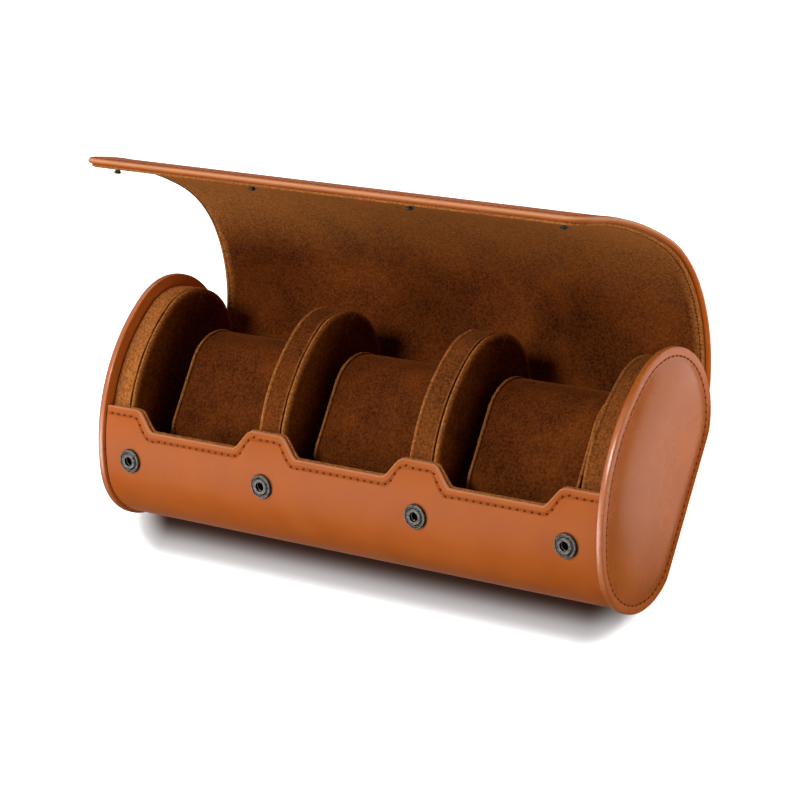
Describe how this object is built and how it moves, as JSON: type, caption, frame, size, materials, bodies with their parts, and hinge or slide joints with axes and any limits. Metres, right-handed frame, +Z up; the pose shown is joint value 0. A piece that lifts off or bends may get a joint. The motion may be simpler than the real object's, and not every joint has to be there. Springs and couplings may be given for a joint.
{
  "type": "watch travel case",
  "caption": "Leather watch roll of D-shaped section with padded end caps, suede partitions, lift-out cushions and a wrap-over lid that snaps to the front",
  "frame": {"origin": "middle of the length and of the depth, on the plane that the flat base rests on", "axes": "+X along the case, +Y towards the lid hinge, +Z up"},
  "size_m": [0.2434, 0.1305, 0.1145],
  "materials": {
    "leather": "smooth finished cowhide, tan",
    "suede": "brown microsuede lining, brushed",
    "board": "grey stiffening board",
    "foam": "dense foam padding",
    "snap_metal": "antique gunmetal plating",
    "spring_metal": "spring wire"
  },
  "bodies": {
    "case": {"shell_leather": "leather", "shell_board": "board", "shell_lining": "suede", "left_end_facing": "leather", "left_end_board": "board", "left_end_binding": "leather", "left_end_foam": "foam", "left_end_leather": "leather", "right_end_facing": "leather", "right_end_board": "board", "right_end_binding": "leather", "right_end_foam": "foam", "right_end_leather": "leather", "left_cheek_core": "foam", "left_cheek_suede": "suede", "right_cheek_core": "foam", "right_cheek_suede": "suede", "left_divider_core": "foam", "left_divider_suede": "suede", "right_divider_core": "foam", "right_divider_suede": "suede", "snap_sockets": "snap_metal", "snap_springs": "spring_metal", "snap_backs": "snap_metal"},
    "lid_back": {"lid_back_leather": "leather", "lid_back_interlining": "board", "lid_back_lining": "suede"},
    "lid_top": {"lid_leather": "leather", "lid_board": "board", "lid_lining": "suede"},
    "lid_flap": {"flap_leather": "leather", "flap_board": "board", "flap_lining": "suede", "snap_studs": "snap_metal", "stud_backs": "snap_metal"},
    "left_cushion": {"left_cushion_foam": "foam", "left_cushion_sleeve": "suede", "left_cushion_ends": "suede"},
    "middle_cushion": {"middle_cushion_foam": "foam", "middle_cushion_sleeve": "suede", "middle_cushion_ends": "suede"},
    "right_cushion": {"right_cushion_foam": "foam", "right_cushion_sleeve": "suede", "right_cushion_ends": "suede"}
  },
  "joints": [
    {"name": "lid_hinge", "type": "hinge", "parent": "case", "child": "lid_back", "pos_m": [0, 0.0282, 0.0036], "axis": [-1, 0, 0], "range_deg": [-27.5, 0]},
    {"name": "lid_fold", "type": "hinge", "parent": "lid_back", "child": "lid_top", "pos_m": [0, 0.05935, 0.01587], "axis": [-1, 0, 0], "range_deg": [-47, 0]},
    {"name": "flap_bend", "type": "hinge", "parent": "lid_top", "child": "lid_flap", "pos_m": [0, 0.07628, 0.0739], "axis": [-1, 0, 0], "range_deg": [-17.5, 0], "stiffness_Nm_per_rad": 0.5},
    {"name": "left_cushion_lift", "type": "slide", "parent": "case", "child": "left_cushion", "axis": [0, 0.454, 0.891], "range_m": [0, 0.062]},
    {"name": "middle_cushion_lift", "type": "slide", "parent": "case", "child": "middle_cushion", "axis": [0, 0.454, 0.891], "range_m": [0, 0.062]},
    {"name": "right_cushion_lift", "type": "slide", "parent": "case", "child": "right_cushion", "axis": [0, 0.454, 0.891], "range_m": [0, 0.062]}
  ],
  "couplings": [
    {"joint": "lid_fold", "follows": "lid_hinge", "ratio": 1.7091}
  ]
}
